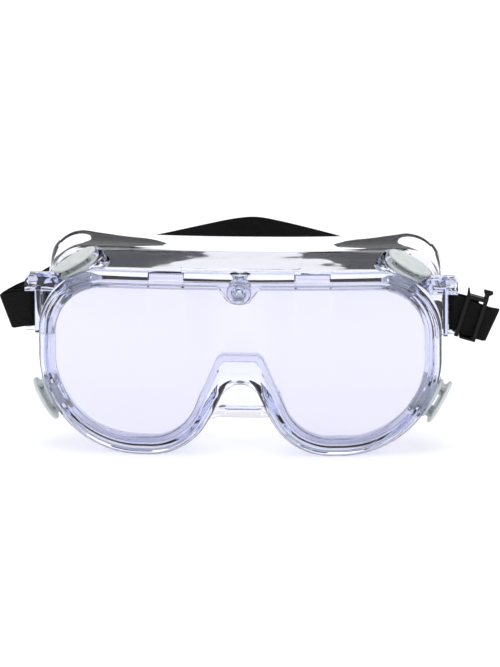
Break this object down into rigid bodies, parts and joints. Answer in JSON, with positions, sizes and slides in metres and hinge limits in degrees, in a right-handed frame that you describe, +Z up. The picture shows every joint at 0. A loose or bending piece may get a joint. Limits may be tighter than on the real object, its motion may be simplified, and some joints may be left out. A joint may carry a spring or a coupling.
{
  "type": "protective goggles",
  "caption": "Clear splash goggles with a soft one-piece frame, curved lens, capped round vents and a black elastic headband.",
  "frame": {"origin": "on the surface the goggles stand on, midway between the two lower lobes, at the front of the rim's centre", "axes": "+X towards the right in a front view (the wearer's left), +Y from the lens to the back of the head, +Z up"},
  "size_m": [0.2089, 0.1489, 0.085],
  "materials": {
    "clear_pvc": "gloss",
    "clear_lens": "polished",
    "clear_hard": "gloss",
    "milky_plastic": "satin",
    "elastic": "matte",
    "black_plastic": "satin"
  },
  "bodies": {
    "frame": {"frame_body": "clear_pvc", "lens": "clear_lens", "button_socket": "clear_hard", "strap_lug_left": "clear_hard", "strap_lug_right": "clear_hard", "vent_seat_upper_left": "milky_plastic", "vent_seat_upper_right": "milky_plastic", "vent_seat_lower_left": "milky_plastic", "vent_seat_lower_right": "milky_plastic", "vent_cap_upper_left": "milky_plastic", "vent_cap_upper_right": "milky_plastic", "vent_cap_lower_left": "milky_plastic", "vent_cap_lower_right": "milky_plastic", "strap_end_left": "elastic", "strap_end_right": "elastic"},
    "headband": {"headband": "elastic"},
    "button": {"lens_button": "clear_hard"},
    "slider": {"strap_slider": "black_plastic"}
  },
  "joints": [
    {"name": "headband_tilt", "type": "hinge", "parent": "frame", "child": "headband", "pos_m": [0, 0.038, 0.056], "axis": [1, 0, 0], "range_deg": [-20, 30], "deforming": ["strap_end_left", "strap_end_right"]},
    {"name": "slider_slide", "type": "slide", "parent": "frame", "child": "slider", "axis": [0.9366, 0.1651, -0.309], "range_m": [0, 0.008], "deforming": ["strap_end_right"]},
    {"name": "button_pull", "type": "slide", "parent": "frame", "child": "button", "axis": [0, -1, 0], "range_m": [0, 0.011]}
  ]
}
